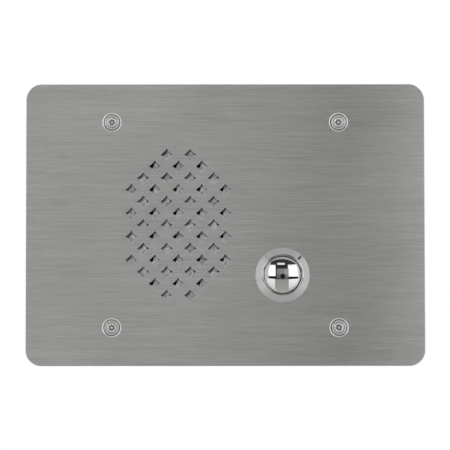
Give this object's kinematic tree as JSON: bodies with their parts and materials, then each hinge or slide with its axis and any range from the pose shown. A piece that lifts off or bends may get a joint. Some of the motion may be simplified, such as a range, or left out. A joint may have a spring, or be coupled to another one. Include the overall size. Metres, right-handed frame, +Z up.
{
  "type": "vandal-resistant intercom",
  "caption": "Flush wall intercom: brushed steel plate with star-hole grille, domed call button, speaker, switch and line board behind it.",
  "frame": {"origin": "the middle of the four box screws, in the plane of the wall that the gasket rests on", "axes": "+X to the right of a person facing the plate, +Y into the wall, +Z up"},
  "size_m": [0.162, 0.0552, 0.1142],
  "materials": {
    "plate_steel": "stainless sheet, brushed in horizontal lines",
    "screw_steel": "stainless screw, turned and passivated",
    "galvanised_steel": "galvanised sheet with a mottled spangle",
    "zinc_steel": "bright zinc-plated steel",
    "polished_steel": "turned stainless, polished",
    "dome_chrome": "mirror chrome",
    "foam": "black closed-cell foam",
    "seal_rubber": "black nitrile rubber",
    "surround_rubber": "soft black rubber",
    "cloth": "black open-weave acoustic cloth",
    "spider_cloth": "resin-treated yellow-brown cloth",
    "fibre": "red vulcanised fibre",
    "cone_paper": "black pressed paper pulp",
    "basket_paint": "black paint on pressed steel",
    "ferrite": "sintered dark grey ferrite",
    "winding_copper": "enamelled copper wire",
    "contact_brass": "brass",
    "tinned_copper": "tinned copper braid",
    "phenolic": "brown phenolic board",
    "spring_steel": "spring steel",
    "black_plastic": "moulded black plastic",
    "green_plastic": "moulded green plastic",
    "white_plastic": "moulded natural nylon",
    "blue_plastic": "moulded blue plastic",
    "board_green": "green solder mask on glass-fibre board",
    "core_steel": "stacked silicon-steel laminations",
    "coil_tape": "yellow polyester tape over the winding",
    "sink_aluminium": "black anodised aluminium",
    "capacitor_sleeve": "dark blue sleeve with an aluminium top",
    "chip_ceramic": "dark chip bodies with tinned ends",
    "lead_insulation": "red and black insulated wire"
  },
  "bodies": {
    "root": {"faceplate": "plate_steel", "plate_screws": "screw_steel", "screw_retainers": "fibre", "wall_gasket": "foam", "probe_guard": "galvanised_steel", "grille_cloth": "cloth", "speaker_gasket": "foam", "speaker_studs": "zinc_steel", "speaker_washers": "zinc_steel", "speaker_nuts": "zinc_steel", "speaker_frame": "basket_paint", "speaker_surround": "surround_rubber", "spider": "spider_cloth", "front_pole_plate": "zinc_steel", "ring_magnet": "ferrite", "rear_yoke": "zinc_steel", "speaker_terminal_strip": "phenolic", "speaker_lugs": "tinned_copper", "tinsel_leads": "tinned_copper", "button_bezel": "polished_steel", "bezel_seal": "seal_rubber", "return_spring": "spring_steel", "lock_washer": "spring_steel", "bezel_nut": "zinc_steel", "switch_block": "black_plastic", "switch_back": "black_plastic", "fixed_contacts": "contact_brass", "board_standoffs": "zinc_steel", "circuit_board": "board_green", "board_screws": "zinc_steel", "terminal_block": "green_plastic", "terminal_clamps": "zinc_steel", "terminal_screws": "zinc_steel", "transformer_core": "core_steel", "transformer_coil": "coil_tape", "amplifier_chip": "black_plastic", "heat_sink": "sink_aluminium", "filter_capacitors": "capacitor_sleeve", "small_chips": "chip_ceramic", "trimmer_body": "blue_plastic", "speaker_header": "white_plastic", "speaker_plug": "white_plastic", "button_header": "white_plastic", "button_plug": "white_plastic", "speaker_leads": "lead_insulation", "button_leads": "lead_insulation"},
    "button_plunger": {"button_cap": "dome_chrome", "cap_seal": "seal_rubber", "stem_clip": "spring_steel", "contact_bridge": "contact_brass"},
    "cone_and_coil": {"speaker_cone": "cone_paper", "dust_cap": "cone_paper", "coil_former": "tinned_copper", "coil_winding": "winding_copper"},
    "volume_rotor": {"trimmer_rotor": "white_plastic"}
  },
  "joints": [
    {"name": "button_press", "type": "slide", "parent": "root", "child": "button_plunger", "axis": [0, 1, 0], "range_m": [0, 0.0022], "stiffness_N_per_m": 900, "springref_m": -0.002, "deforming": ["return_spring"]},
    {"name": "cone_travel", "type": "slide", "parent": "root", "child": "cone_and_coil", "axis": [0, 1, 0], "range_m": [-0.0005, 0.0005], "stiffness_N_per_m": 1600, "deforming": ["speaker_surround", "spider", "tinsel_leads"]},
    {"name": "volume_turn", "type": "hinge", "parent": "root", "child": "volume_rotor", "pos_m": [0.0626, 0.017, 0.0225], "axis": [0, 1, 0], "range_deg": [-135, 135]}
  ]
}
